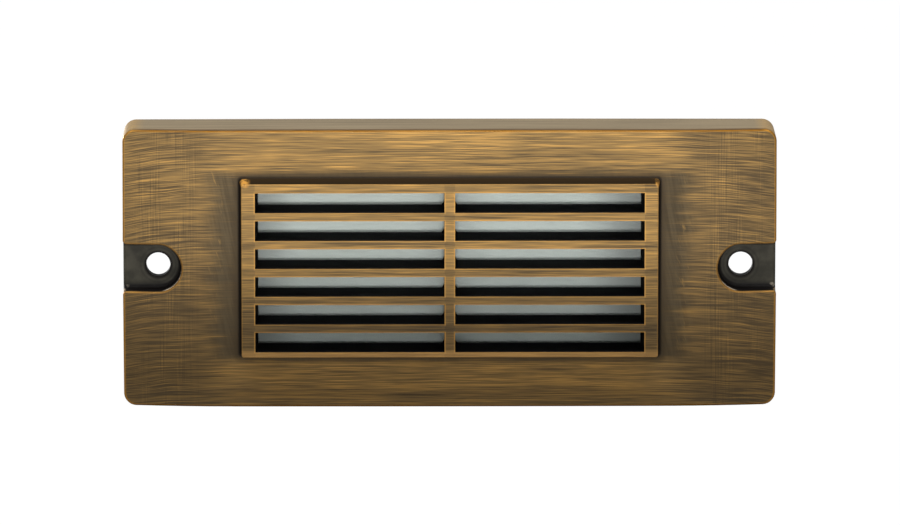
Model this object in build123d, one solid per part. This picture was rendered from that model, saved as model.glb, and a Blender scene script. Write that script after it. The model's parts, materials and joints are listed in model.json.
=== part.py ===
from build123d import *
import math
import os

# A surface-mounted step light: one cast brass faceplate with a louvred window and two screw lugs,
# and behind it a glass lens, a diffuser, an LED board, a small driver and a sheet-metal back cover.
#
# Frame: millimetres. X to the right, Z up, Y into the wall. The origin is the middle of the plane
# that touches the wall, so everything lies at y <= 0. A "depth" is a distance in front of the wall.

# ---------------------------------------------------------------- driving sizes: faceplate
plate_width = 140.0
plate_height = 60.2
side_depth = 15.0  # wall to the flat middle of the plate's front
end_fall = 1.8  # how far the front rolls back at the two ends
flat_half = 46.0  # half width of the part of the front that is flat
side_bow = 0.1  # how far each outer side bulges
corner_radius = 2.7
front_edge_radius = 0.45
front_wall = 2.6
rim_wall = 1.8  # wall beside the back cover
ledge_width = 1.5  # step that the cover's seal rests on
inner_corner = 1.2
root = 0.5  # how far bosses and ribs reach into the walls they stand on
overcut = 1.0  # how far a cut runs past the surface it opens

# ---------------------------------------------------------------- driving sizes: louvre grille
slot_rows = 6
slot_columns = 2
slot_length = 40.45
slot_height = 4.3
slot_end_draft = 0.5  # how far each slot's outer end closes in toward the slats' backs
bar_height = 1.75
mullion_width = 2.25
side_bar = 2.9
top_bar = 1.9
bottom_bar = 1.1
grille_proud = 5.0  # grille front in front of the plate front
grille_rise = 0.45  # the grille sits a touch above mid-height
slat_depth = 10.8  # front to back
grille_draft = 0.45  # how much wider the grille's foot is than its face, each side
grille_corner = 0.45
grille_foot_fillet = 0.4
grille_edge_radius = 0.2
web_width = 0.55  # little webs where the slats meet the mullion
web_height = 0.8
web_length = 1.2
web_root = 0.3  # how far a web reaches into the bars it joins
seat_margin = 4.4  # lens seat around the slots
seat_corner = 2.0

# ---------------------------------------------------------------- driving sizes: screw lugs
lug_inset = 7.5  # hole centre from the plate's end
lug_hole = 5.2
lug_hole_break = 0.25
notch_radius = 5.1
notch_depth = 5.6  # flat front to lug floor
notch_floor_fillet = 1.0
notch_mouth_radius = 0.8
lug_thickness = 2.8
passage_wall = 2.2  # wall between a screw passage and the sealed inside

# ---------------------------------------------------------------- driving sizes: lens stack and LED board
# the lens stack hangs from the slats' backs, the board stands on the cover, and the retainer spans between
lens_gasket_thickness = 0.6
gasket_setback = 0.6  # gasket edge back from the slots
lens_margin = 3.1  # glass beyond the slots
lens_thickness = 2.5
lens_corner = 1.5
lens_edge_break = 0.25
skirt_gap = 0.3  # retainer skirt to the gasket
window_margin = 0.5  # retainer's window beyond the slots
diffuser_thickness = 0.6
diffuser_play = 0.2
retainer_wall = 1.2
retainer_flare = 18.0  # degrees
fit_gap = 0.25  # play beside pieces that drop in
board_thickness = 1.0
board_corner = 1.5
board_play = 0.6  # LED board to cavity wall
board_overhang = 0.4  # LED board beyond the retainer, each side
led_columns = 8
led_rows = 2
led_margin = (5.15, 9.8)  # edge of the slots to the outer LEDs' centres
led_size = (3.5, 2.8, 0.6)
led_corner = 0.3
phosphor_size = (2.6, 2.0, 0.15)
phosphor_corner = 0.5
pad_thickness = 1.0
pad_inset = (6.5, 7.7)  # pad's edges in from the LED board's
pad_corner = 1.0

# ---------------------------------------------------------------- driving sizes: fasteners
board_screw_shank = 2.0
board_screw_hole = 2.2
board_screw_head = 3.6
board_screw_head_height = 0.8
board_screw_length = 5.0
head_fillet = 0.3
board_recess_depth = 0.5
cover_recess_depth = 0.6
recess_width = 0.55  # of the head
recess_web = 0.26  # of the recess
board_boss_radius = 1.9
board_boss_inset = 14.5  # boss centres from the LED board's ends
boss_clearance = 0.4  # board boss to cavity wall
cover_screw_shank = 2.5
cover_screw_hole = 2.9
cover_screw_head = 4.4
cover_screw_head_height = 0.95
cover_screw_length = 6.0
cover_boss_radius = 2.6
boss_to_wall = 3.3  # boss centre to the cavity's wall
bore_play = 0.02  # tapped bore to screw, each side
bore_runout = 0.6  # bore left over beyond a screw's tip
countersink_play = 0.05

# ---------------------------------------------------------------- driving sizes: back cover and cable entry
cover_thickness = 1.2
cover_corner = 0.5  # smallest corner radius of the sheet
cover_seal_thickness = 0.5
wall_gasket_thickness = 0.8
wall_gasket_width = 3.6
grommet_bore = 4.0
grommet_neck = 6.4
grommet_flange = 8.6
grommet_lip = 0.6
grommet_from_end = 6.8  # centre from the cavity's end wall
grommet_drop = 6.9  # centre below the screw passage
head_relief = 0.4  # gasket cut back round the cover screws

# ---------------------------------------------------------------- driving sizes: driver and terminal block
board_gap = 1.0  # LED board to driver board
clearance_to_passage = 0.8
clearance_to_boss = 0.5
driver_corner = 0.8
driver_screw_inset = (4.0, 2.2)  # from the board's sides, left and right
driver_screw_rise = 2.2
# components: centres from the driver board's lower left corner, then width, height and depth
rectifier_at = (8.0, 2.4)
rectifier_size = (3.4, 3.2, 2.2)
chip_at = (12.05, 2.4)
chip_size = (2.9, 3.2, 1.3)
package_bevel = 0.2
inductor_at = (14.7, 8.6)
inductor_size = (5.2, 5.2, 3.0)
inductor_corner = 1.2
inductor_groove = (1.3, 1.9, 0.5)  # inner radius, outer radius, depth
capacitor_at = (7.4, 8.6)
capacitor_foot = (5.2, 5.2, 0.8)
foot_corner = 0.6
capacitor_radius = 2.45
capacitor_height = 5.6
capacitor_crown = 0.4
ceramic_places = ((11.05, 10.0), (11.05, 7.6))
ceramic_size = (0.8, 1.6, 0.8)
resistor_places = ((2.3, 8.5), (11.0, 5.6))
resistor_size = (1.3, 0.8, 0.4)
terminal_size = (6.6, 9.0, 7.0)  # width, height, depth
terminal_corner = 0.5
terminal_offset = 2.5  # left edge of the block from the driver board's left edge
terminal_drop = 1.6  # top of the block below the screw passage
terminal_pole_pitch = 5.0
terminal_axis_in = 3.6  # barrel axis behind the front wall
barrel_radius = 1.5
barrel_bore = 0.8
barrel_setback = 0.4
clamp_screw_radius = 0.9
clamp_screw_well = 0.2  # radial play round a clamp screw in the block
clamp_screw_sink = 0.6  # clamp screw below the block's back
clamp_screw_touch = 0.02  # clamp screw tip to the lead
screw_slot_width = 0.35
screw_slot_depth = 0.4
mount_screw_radius = 0.7
mount_screw_head = (0.95, 0.7)  # radius and height
mount_screw_bite = 1.5
mount_bore_runout = 0.2

# ---------------------------------------------------------------- driving sizes: leads
lead_diameter = 1.2
joint_height = 0.5
joint_radius = 0.95
joint_neck = 0.05  # joint's tip beyond the lead, each side
supply_pad_places = ((1.2, 6.4), (3.4, 6.4))  # on the driver board
output_pad_places = ((1.2, 10.6), (3.4, 10.6))
led_pad_insets = (2.3, 5.1)  # from the LED board's right edge
lane_play = 1.0  # lens retainer to a climbing lead
lead_crossing = 1.8  # depth between leads that cross
lead_rise = 3.3
lead_bend = 2.4
lead_dip = 1.2
lead_roundness = 0.45  # share of the shorter run that a bend may take
led_loops = (2.2, 4.4)  # heights of the two LED leads' loops
loop_lift = 0.5
loop_corner = (1.3, 1.0)  # back from the output pad, below the LED pad

# ---------------------------------------------------------------- depths, counted from the wall
grille_front = side_depth + grille_proud
slat_back = grille_front - slat_depth
inner_front = side_depth - front_wall
lug_front = side_depth - notch_depth
lug_back = lug_front - lug_thickness
cover_back = wall_gasket_thickness
cover_front = cover_back + cover_thickness
ledge_depth = cover_front + cover_seal_thickness
lens_front = slat_back - lens_gasket_thickness
lens_back = lens_front - lens_thickness
diffuser_back = lens_back - diffuser_thickness
pad_back = cover_front
board_back = pad_back + pad_thickness
board_front = board_back + board_thickness
boss_foot = inner_front + root

# ---------------------------------------------------------------- plan sizes worked out
slots_width = slot_columns * slot_length + (slot_columns - 1) * mullion_width
slots_height = slot_rows * slot_height + (slot_rows - 1) * bar_height
grille_width = slots_width + 2 * side_bar
grille_height = slots_height + top_bar + bottom_bar
slots_z = grille_rise + (bottom_bar - top_bar) / 2
inner_wall = rim_wall + ledge_width
cavity_half_x = plate_width / 2 - side_bow - inner_wall
cavity_half_z = plate_height / 2 - side_bow - inner_wall
lug_x = plate_width / 2 - lug_inset
passage_radius = notch_radius + passage_wall
lens_width = slots_width + 2 * lens_margin
lens_height = slots_height + 2 * lens_margin
pocket_width = lens_width + 2 * fit_gap
pocket_height = lens_height + 2 * fit_gap
retainer_width = pocket_width + 2 * retainer_wall
retainer_height = pocket_height + 2 * retainer_wall
led_board_width = retainer_width + 2 * board_overhang
led_board_height = 2 * (cavity_half_z - board_play)
board_boss_x = led_board_width / 2 - board_boss_inset
board_boss_z = cavity_half_z - board_boss_radius - boss_clearance
cover_boss_x = cavity_half_x - boss_to_wall
cover_boss_z = cavity_half_z - boss_to_wall

# the driver board fills the upper right corner, and the terminal block stands in the lower right one
driver_left = led_board_width / 2 + board_gap
driver_right = cavity_half_x - clearance_to_passage
driver_bottom = passage_radius + clearance_to_passage
driver_top = cover_boss_z - cover_boss_radius - clearance_to_boss
terminal_width, terminal_height, terminal_depth = terminal_size
terminal_x = driver_left + terminal_offset + terminal_width / 2
terminal_z = -(passage_radius + terminal_drop + terminal_height / 2)
terminal_back = inner_front - terminal_depth
terminal_axis = inner_front - terminal_axis_in
grommet_x = cavity_half_x - grommet_from_end
grommet_z = -(passage_radius + grommet_drop)
lane_x = retainer_width / 2 + lane_play + lead_diameter / 2

FRONT = Plane.XZ  # its local x and y are the part's X and Z, and its normal points away from the wall


# ---------------------------------------------------------------- shapes used by many pieces
def slab(face, back, front):
    """The plan shape FACE as a solid between two depths."""
    return extrude(FRONT.offset(back) * face, amount=front - back)


def rod(x, z, radius, back, front):
    """A round bar across the depth."""
    return slab(Pos(x, z) * Circle(radius), back, front)


def cone(x, z, back_radius, front_radius, back, front):
    """A round taper across the depth."""
    angle = math.degrees(math.atan((back_radius - front_radius) / (front - back)))
    face = FRONT.offset(back) * Pos(x, z) * Circle(back_radius)
    return extrude(face, amount=front - back, taper=angle)


def block(x, z, width, height, back, front, corner=0.0):
    """A rectangular block, its plan corners rounded when a corner radius is given."""
    plan = RectangleRounded(width, height, corner) if corner > 0 else Rectangle(width, height)
    return slab(Pos(x, z) * plan, back, front)


def front_edges(solid):
    return solid.faces().sort_by(Axis.Y)[0].edges()


def back_edges(solid):
    return solid.faces().sort_by(Axis.Y)[-1].edges()


def bowed_outline(inset, corner):
    """The plate's outline moved in by INSET: four slightly bulging sides, rounded corners."""
    half_x = plate_width / 2 - inset
    half_z = plate_height / 2 - inset
    x = half_x - side_bow
    z = half_z - side_bow
    face = make_face([
        ThreePointArc((-x, -z), (0, -half_z), (x, -z)),
        ThreePointArc((x, -z), (half_x, 0), (x, z)),
        ThreePointArc((x, z), (0, half_z), (-x, z)),
        ThreePointArc((-x, z), (-half_x, 0), (-x, -z)),
    ])
    return fillet(face.vertices(), corner)


def notches(radius):
    """At both ends, a slot open at the plate's end with its round inner end about the lug hole."""
    reach = lug_inset + 5 * overcut
    plan = Sketch()
    for side in (-1, 1):
        plan += Pos(side * (lug_x + reach / 2), 0) * Rectangle(reach, 2 * radius)
        plan += Pos(side * lug_x, 0) * Circle(radius)
    return plan


def four_corners(x, z):
    return [(sx * x, sz * z) for sx in (-1, 1) for sz in (-1, 1)]


def grid(columns, rows, pitch_x, pitch_z):
    """Column and row centres about the middle of the slots."""
    return [
        ((column - (columns - 1) / 2) * pitch_x, slots_z + (row - (rows - 1) / 2) * pitch_z)
        for column in range(columns)
        for row in range(rows)
    ]


def slot_centres():
    return grid(slot_columns, slot_rows, slot_length + mullion_width, slot_height + bar_height)


def led_screw_points():
    return four_corners(board_boss_x, board_boss_z)


def driver_screw_points():
    left, right = driver_screw_inset
    z = driver_bottom + driver_screw_rise
    return [(driver_left + left, z), (driver_right - right, z)]


def board_screw_points():
    return led_screw_points() + driver_screw_points()


def cover_screw_points():
    return four_corners(cover_boss_x, cover_boss_z)


# ---------------------------------------------------------------- faceplate
def roll_point(side, along):
    """A point of the rolled end, ALONG of the way from the flat to just past the plate's end."""
    run = plate_width / 2 - flat_half
    radius = (run**2 + end_fall**2) / (2 * end_fall)
    angle = along * math.asin((run + 1) / radius)
    return side * (flat_half + radius * math.sin(angle)), -side_depth + radius * (1 - math.cos(angle))


def behind_front():
    """Everything behind the plate's front, which is flat in the middle and rolls back at both ends."""
    left, right = [[roll_point(side, along) for along in (0, 0.5, 1)] for side in (-1, 1)]
    face = make_face([
        ThreePointArc(*right),
        Line(right[2], (right[2][0], 1)),
        Line((right[2][0], 1), (left[2][0], 1)),
        Line((left[2][0], 1), left[2]),
        ThreePointArc(*left),
        Line(left[0], right[0]),
    ])
    return extrude(face, amount=plate_height, both=True)


def is_flat_seam(edge):
    """True of an upright line where the front's flat meets its rolled ends."""
    return abs(abs(edge.center().X) - flat_half) < 0.01 and edge.length > plate_height / 2


def plate_blank():
    """The plate's outer form: the bowed outline, the rolled front and the two notches."""
    blank = slab(bowed_outline(0, corner_radius), 0, side_depth + overcut) & behind_front()
    for notch in notches(notch_radius).faces():
        room = slab(notch, lug_front, side_depth + overcut)
        blank -= fillet(back_edges(room), notch_floor_fillet)
    mouth_edges = [
        e for e in blank.edges()
        if e.center().Y < 0.01 - lug_front and abs(e.center().Z) < notch_radius + 0.01
        and abs(e.center().X) > plate_width / 2 - 0.05
    ]
    blank = fillet(mouth_edges, notch_mouth_radius)
    rim_edges = [
        e for e in blank.edges()
        if e.center().Y < 0.4 - (side_depth - end_fall) and not is_flat_seam(e)
    ]
    return fillet(rim_edges, front_edge_radius)


def grille_block():
    """The raised grille before its slots: a drafted block with eased face edges."""
    sink = front_wall / 2
    spread = grille_draft * (grille_proud + sink) / grille_proud
    foot = RectangleRounded(
        grille_width + 2 * spread, grille_height + 2 * spread, grille_corner + spread
    )
    draft_angle = math.degrees(math.atan(grille_draft / grille_proud))
    plane = FRONT.offset(side_depth - sink)
    body = extrude(plane * Pos(0, grille_rise) * foot, amount=grille_proud + sink, taper=draft_angle)
    return fillet(front_edges(body), grille_edge_radius)


def slot_cut(x, z):
    """One slot: straight at the mullion, its outer end closing in toward the slats' backs."""
    outward = math.copysign(1, x)
    back = slat_back - overcut
    front = grille_front + overcut
    straight_end = x - outward * slot_length / 2
    outer_back, outer_front = [
        x + outward * (slot_length / 2 - slot_end_draft * (grille_front - depth) / slat_depth)
        for depth in (back, front)
    ]
    plan = make_face(Polyline(
        (straight_end, -back), (outer_back, -back), (outer_front, -front), (straight_end, -front), close=True
    ))
    return extrude(Plane.XY.offset(z) * plan, amount=slot_height / 2, both=True)


def louvre_webs():
    """Small triangular webs in the lower corner between each slat and the mullion."""
    webs = []
    for x, z in slot_centres():
        side = -1 if x > 0 else 1
        corner_x = x + side * slot_length / 2
        corner_z = z - slot_height / 2
        plan = make_face(Polyline(
            (corner_x + side * web_root, corner_z - web_root),
            (corner_x - side * web_width, corner_z - web_root),
            (corner_x - side * web_width, corner_z),
            (corner_x, corner_z + web_height),
            (corner_x + side * web_root, corner_z + web_height),
            close=True,
        ))
        webs.append(slab(plan, slat_back, slat_back + web_length))
    return webs


def wall_rib(x, z):
    """Fills the corner between a cover boss and the two outer walls beside it."""
    reach = boss_to_wall + root
    middle_x = x + math.copysign(reach / 2, x)
    middle_z = z + math.copysign(reach / 2, z)
    return block(middle_x, middle_z, reach, reach, ledge_depth, boss_foot)


def make_faceplate():
    body = plate_blank()
    # the inside: a shallow step for the cover, the sealed cavity and a passage behind each lug
    inside = bowed_outline(inner_wall, inner_corner)
    body -= slab(bowed_outline(rim_wall, corner_radius - rim_wall), 0, ledge_depth)
    body -= slab(inside - notches(passage_radius), 0, inner_front)
    body -= slab(inside & notches(notch_radius), 0, lug_back)
    # the grille and the small fillet round its foot
    body += grille_block()
    foot_edges = [
        e for e in body.edges()
        if abs(e.center().Y + side_depth) < 0.01 and e.bounding_box().size.Y < 0.01
        and not is_flat_seam(e) and abs(e.center().Z - grille_rise) < grille_height / 2 + 1
        and abs(e.center().X) < flat_half
    ]
    body = fillet(foot_edges, grille_foot_fillet)
    seat_width = slots_width + 2 * seat_margin
    seat_height = slots_height + 2 * seat_margin
    body += block(0, slots_z, seat_width, seat_height, slat_back, boss_foot, seat_corner)
    # bosses for the boards and the cover
    for x, z in board_screw_points():
        body += rod(x, z, board_boss_radius, board_front, boss_foot)
    for x, z in cover_screw_points():
        body += rod(x, z, cover_boss_radius, cover_front, boss_foot)
        body += wall_rib(x, z)
    # slots, webs and holes
    for x, z in slot_centres():
        body -= slot_cut(x, z)
    for web in louvre_webs():
        body += web
    for side in (-1, 1):
        body -= rod(side * lug_x, 0, lug_hole / 2, lug_back - overcut, lug_front + overcut)
        body -= cone(side * lug_x, 0, lug_hole / 2 - 0.01, lug_hole / 2 + lug_hole_break,
                     lug_front - lug_hole_break, lug_front)
    for x, z in board_screw_points():
        body -= rod(x, z, board_screw_shank / 2 + bore_play, board_front, board_front + board_screw_length)
    for x, z in cover_screw_points():
        body -= rod(x, z, cover_screw_shank / 2 + bore_play, cover_front, cover_front + cover_screw_length)
    body -= rod(terminal_x, terminal_z, mount_screw_radius + bore_play,
                inner_front, inner_front + mount_screw_bite + mount_bore_runout)
    return body


# ---------------------------------------------------------------- lens stack
def make_lens_gasket():
    plan = RectangleRounded(lens_width, lens_height, lens_corner)
    plan -= Rectangle(slots_width + 2 * gasket_setback, slots_height + 2 * gasket_setback)
    return slab(Pos(0, slots_z) * plan, lens_front, slat_back)


def make_lens():
    glass = block(0, slots_z, lens_width, lens_height, lens_back, lens_front, lens_corner)
    return chamfer(front_edges(glass), lens_edge_break)


def make_diffuser():
    width = lens_width - 2 * diffuser_play
    height = lens_height - 2 * diffuser_play
    return block(0, slots_z, width, height, diffuser_back, lens_back, lens_corner)


def make_lens_retainer():
    """A frame of L section: a skirt round the glass and a spacer between diffuser and LED board."""
    frame = block(0, slots_z, retainer_width, retainer_height,
                  board_front, lens_front - skirt_gap, seat_corner)
    frame -= block(0, slots_z, pocket_width, pocket_height, diffuser_back, lens_front, lens_corner)
    window = Pos(0, slots_z) * Rectangle(slots_width + 2 * window_margin, slots_height + 2 * window_margin)
    spacer = diffuser_back - board_front
    frame -= extrude(FRONT.offset(board_front) * window, amount=spacer, taper=-retainer_flare)
    return frame


# ---------------------------------------------------------------- LED board
def led_points():
    pitch_x = (slots_width - 2 * led_margin[0]) / (led_columns - 1)
    pitch_z = (slots_height - 2 * led_margin[1]) / (led_rows - 1)
    return grid(led_columns, led_rows, pitch_x, pitch_z)


def board(x, z, width, height, corner, screw_points):
    plate = block(x, z, width, height, board_back, board_front, corner)
    for screw_x, screw_z in screw_points:
        plate -= rod(screw_x, screw_z, board_screw_hole / 2, board_back, board_front)
    return plate


def make_led_board():
    return board(0, 0, led_board_width, led_board_height, board_corner, led_screw_points())


def make_led_packages():
    width, height, tall = led_size
    cup_width, cup_height, cup_depth = phosphor_size
    top = board_front + tall
    packages = []
    for x, z in led_points():
        package = block(x, z, width, height, board_front, top, led_corner)
        cup = block(x, z, cup_width, cup_height, top - cup_depth, top, phosphor_corner)
        packages.append(package - cup)
    return Compound(children=packages)


def make_led_phosphors():
    width, height, tall = phosphor_size
    top = board_front + led_size[2]
    return Compound(children=[
        block(x, z, width, height, top - tall, top, phosphor_corner) for x, z in led_points()
    ])


def make_thermal_pad():
    width = led_board_width - 2 * pad_inset[0]
    height = led_board_height - 2 * pad_inset[1]
    return block(0, 0, width, height, pad_back, board_back, pad_corner)


# ---------------------------------------------------------------- driver board and its components
def on_driver(place, size, corner=0.0):
    """A component standing on the driver board."""
    width, height, tall = size
    x = driver_left + place[0]
    z = driver_bottom + place[1]
    return block(x, z, width, height, board_front, board_front + tall, corner)


def make_driver_board():
    width = driver_right - driver_left
    height = driver_top - driver_bottom
    middle_x = (driver_left + driver_right) / 2
    middle_z = (driver_bottom + driver_top) / 2
    return board(middle_x, middle_z, width, height, driver_corner, driver_screw_points())


def make_bridge_rectifier():
    package = on_driver(rectifier_at, rectifier_size)
    return chamfer(front_edges(package), package_bevel)


def make_driver_chip():
    package = on_driver(chip_at, chip_size)
    return chamfer(front_edges(package), package_bevel)


def make_power_inductor():
    """A shielded drum choke: a square case with a ring groove about its core."""
    inner_radius, outer_radius, groove_depth = inductor_groove
    top = board_front + inductor_size[2]
    ring = Circle(outer_radius) - Circle(inner_radius)
    place = Pos(driver_left + inductor_at[0], driver_bottom + inductor_at[1])
    case = on_driver(inductor_at, inductor_size, inductor_corner)
    return case - slab(place * ring, top - groove_depth, top)


def make_smoothing_capacitor():
    """An upright aluminium can on a square moulded foot."""
    x = driver_left + capacitor_at[0]
    z = driver_bottom + capacitor_at[1]
    foot = on_driver(capacitor_at, capacitor_foot, foot_corner)
    foot_top = board_front + capacitor_foot[2]
    can = rod(x, z, capacitor_radius, foot_top, board_front + capacitor_height)
    return foot + fillet(front_edges(can), capacitor_crown)


def make_ceramic_capacitors():
    return Compound(children=[on_driver(place, ceramic_size) for place in ceramic_places])


def make_chip_resistors():
    return Compound(children=[on_driver(place, resistor_size) for place in resistor_places])


# ---------------------------------------------------------------- screws
def cross_recess(x, z, head, back, deep):
    arm = head * recess_width
    web = arm * recess_web
    return slab(Pos(x, z) * (Rectangle(arm, web) + Rectangle(web, arm)), back, back + deep)


def make_board_screws():
    """Pan-head screws with their heads on the backs of the boards."""
    head_back = board_back - board_screw_head_height
    tip = board_front + board_screw_length - bore_runout
    screws = []
    for x, z in board_screw_points():
        head = rod(x, z, board_screw_head / 2, head_back, board_back)
        head = fillet(back_edges(head), head_fillet)
        shank = rod(x, z, board_screw_shank / 2, board_back, tip)
        screws.append(head + shank - cross_recess(x, z, board_screw_head, head_back, board_recess_depth))
    return Compound(children=screws)


def make_cover_screws():
    """Countersunk screws flush with the back of the cover."""
    head_front = cover_back + cover_screw_head_height
    tip = cover_front + cover_screw_length - bore_runout
    screws = []
    for x, z in cover_screw_points():
        head = cone(x, z, cover_screw_head / 2, cover_screw_shank / 2, cover_back, head_front)
        shank = rod(x, z, cover_screw_shank / 2, head_front, tip)
        screws.append(head + shank - cross_recess(x, z, cover_screw_head, cover_back, cover_recess_depth))
    return Compound(children=screws)


# ---------------------------------------------------------------- terminal block
def along_x(z, radius, half_length):
    """A round bar along X through the terminal block, at a pole's height."""
    plane = Plane.YZ.offset(terminal_x - half_length)
    return extrude(plane * Pos(-terminal_axis, z) * Circle(radius), amount=2 * half_length)


def terminal_poles():
    return [terminal_z - terminal_pole_pitch / 2, terminal_z + terminal_pole_pitch / 2]


def clamp_screw_points():
    return [(terminal_x + side * terminal_width / 4, z) for side in (-1, 1) for z in terminal_poles()]


def make_terminal_block():
    body = block(terminal_x, terminal_z, terminal_width, terminal_height,
                 terminal_back, inner_front, terminal_corner)
    for z in terminal_poles():
        body -= along_x(z, barrel_radius + bore_play, terminal_width)
    for x, z in clamp_screw_points():
        body -= rod(x, z, clamp_screw_radius + clamp_screw_well, terminal_back, terminal_axis)
    return body - rod(terminal_x, terminal_z, mount_screw_radius + bore_play, terminal_back, inner_front)


def make_terminal_barrels():
    half_length = terminal_width / 2 - barrel_setback
    barrels = []
    for pole_z in terminal_poles():
        tube = along_x(pole_z, barrel_radius, half_length) - along_x(pole_z, barrel_bore, half_length)
        for x, z in clamp_screw_points():
            if z == pole_z:
                tube -= rod(x, z, clamp_screw_radius + bore_play, terminal_back, terminal_axis)
        barrels.append(tube)
    return Compound(children=barrels)


def screw_slot(x, z, radius, back):
    return block(x, z, screw_slot_width, 3 * radius, back, back + screw_slot_depth)


def make_terminal_clamp_screws():
    back = terminal_back + clamp_screw_sink
    tip = terminal_axis - lead_diameter / 2 - clamp_screw_touch
    return Compound(children=[
        rod(x, z, clamp_screw_radius, back, tip) - screw_slot(x, z, clamp_screw_radius, back)
        for x, z in clamp_screw_points()
    ])


def make_terminal_mount_screw():
    radius, height = mount_screw_head
    head_back = terminal_back - height
    head = rod(terminal_x, terminal_z, radius, head_back, terminal_back)
    shank = rod(terminal_x, terminal_z, mount_screw_radius, terminal_back, inner_front + mount_screw_bite)
    return head + shank - screw_slot(terminal_x, terminal_z, radius, head_back)


# ---------------------------------------------------------------- leads inside the case
def on_board(places):
    return [(driver_left + x, driver_bottom + z) for x, z in places]


supply_pads = on_board(supply_pad_places)
output_pads = on_board(output_pad_places)
led_pad_z = (retainer_height + led_board_height) / 4
led_pads = [(led_board_width / 2 - inset, led_pad_z) for inset in led_pad_insets]
joint_top = board_front + joint_height


def arc_radii(points):
    """For each inner point of a route, the largest tangent arc that its two runs allow."""
    radii = []
    for before, here, after in zip(points, points[1:], points[2:]):
        arriving = Vector(*here) - Vector(*before)
        leaving = Vector(*after) - Vector(*here)
        half_turn = math.radians(arriving.get_angle(leaving)) / 2
        radii.append(lead_roundness * min(arriving.length, leaving.length) / math.tan(half_turn))
    return radii


def lead(route):
    """A round lead through (x, depth, z) points, straight runs joined by tangent arcs."""
    points = [(x, -depth, z) for x, depth, z in route]
    path = FilletPolyline(*points, radius=arc_radii(points))
    section = Plane(origin=points[0], z_dir=Vector(*points[1]) - Vector(*points[0]))
    return sweep(section * Circle(lead_diameter / 2), path=path)


def make_supply_lead_positive():
    """From the upper barrel up between the retainer and the screw passage, and down to its pad."""
    x, z = supply_pads[0]
    pole = terminal_poles()[1]
    return lead([
        (terminal_x, terminal_axis, pole),
        (lane_x, terminal_axis, pole),
        (lane_x, terminal_axis, z - lead_bend),
        (x, terminal_axis - lead_dip, z),
        (x, joint_top, z),
    ])


def make_supply_lead_negative():
    """From the lower barrel, in front of the other lead, and down to its pad."""
    x, z = supply_pads[1]
    pole = terminal_poles()[0]
    lane_depth = terminal_axis + lead_crossing
    return lead([
        (terminal_x, terminal_axis, pole),
        (lane_x, terminal_axis, pole),
        (lane_x, lane_depth, pole + lead_rise),
        (lane_x, lane_depth, z - lead_bend),
        (x, lane_depth - lead_dip, z),
        (x, joint_top, z),
    ])


def led_lead(pole):
    """A loop from an output pad of the driver board over to the LED board."""
    (x, z), (far_x, far_z) = output_pads[pole], led_pads[pole]
    loop = joint_top + led_loops[pole]
    back, below = loop_corner
    return lead([
        (x, joint_top, z),
        (x, loop, z),
        (x - back, loop + loop_lift, far_z - below),
        (far_x, loop, far_z),
        (far_x, joint_top, far_z),
    ])


def make_led_lead_positive():
    return led_lead(0)


def make_led_lead_negative():
    return led_lead(1)


def make_solder_joints():
    pads = supply_pads + output_pads + led_pads
    return Compound(children=[
        cone(x, z, joint_radius, lead_diameter / 2 + joint_neck, board_front, joint_top) for x, z in pads
    ])


# ---------------------------------------------------------------- back cover, seals and cable entry
def cover_plan(extra_inset=0.0):
    """The sheet's outline: inside the rim, and cut back round both screw passages."""
    inset = rim_wall + fit_gap + extra_inset
    corner = max(corner_radius - inset, cover_corner)
    return bowed_outline(inset, corner) - notches(passage_radius - ledge_width + extra_inset)


def make_back_cover():
    cover = slab(cover_plan(), cover_back, cover_front)
    cover -= rod(grommet_x, grommet_z, grommet_neck / 2, cover_back, cover_front)
    for x, z in cover_screw_points():
        cover -= rod(x, z, cover_screw_hole / 2, cover_back, cover_front)
        cover -= cone(x, z, cover_screw_head / 2 + countersink_play,
                      cover_screw_shank / 2 + countersink_play,
                      cover_back, cover_back + cover_screw_head_height)
    return cover


def make_cover_seal():
    inside = bowed_outline(inner_wall, inner_corner) - notches(passage_radius)
    return slab(cover_plan() - inside, cover_front, ledge_depth)


def make_wall_gasket():
    frame = slab(cover_plan() - cover_plan(wall_gasket_width), 0, wall_gasket_thickness)
    for x, z in cover_screw_points():
        frame -= rod(x, z, cover_screw_head / 2 + head_relief, 0, wall_gasket_thickness)
    return frame


def make_cable_grommet():
    """A rubber bush: a neck through the cover between two lips."""
    body = rod(grommet_x, grommet_z, grommet_neck / 2, cover_back - grommet_lip, cover_front + grommet_lip)
    body += rod(grommet_x, grommet_z, grommet_flange / 2, cover_back - grommet_lip, cover_back)
    body += rod(grommet_x, grommet_z, grommet_flange / 2, cover_front, cover_front + grommet_lip)
    return body - rod(grommet_x, grommet_z, grommet_bore / 2, 0, cover_front + grommet_lip)


PIECES = {
    "faceplate": make_faceplate,
    "lens_gasket": make_lens_gasket,
    "lens": make_lens,
    "diffuser": make_diffuser,
    "lens_retainer": make_lens_retainer,
    "led_board": make_led_board,
    "led_packages": make_led_packages,
    "led_phosphors": make_led_phosphors,
    "thermal_pad": make_thermal_pad,
    "driver_board": make_driver_board,
    "bridge_rectifier": make_bridge_rectifier,
    "driver_chip": make_driver_chip,
    "power_inductor": make_power_inductor,
    "smoothing_capacitor": make_smoothing_capacitor,
    "ceramic_capacitors": make_ceramic_capacitors,
    "chip_resistors": make_chip_resistors,
    "board_screws": make_board_screws,
    "terminal_block": make_terminal_block,
    "terminal_barrels": make_terminal_barrels,
    "terminal_clamp_screws": make_terminal_clamp_screws,
    "terminal_mount_screw": make_terminal_mount_screw,
    "supply_lead_positive": make_supply_lead_positive,
    "supply_lead_negative": make_supply_lead_negative,
    "led_lead_positive": make_led_lead_positive,
    "led_lead_negative": make_led_lead_negative,
    "solder_joints": make_solder_joints,
    "back_cover": make_back_cover,
    "cover_seal": make_cover_seal,
    "cover_screws": make_cover_screws,
    "cable_grommet": make_cable_grommet,
    "wall_gasket": make_wall_gasket,
}

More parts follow.
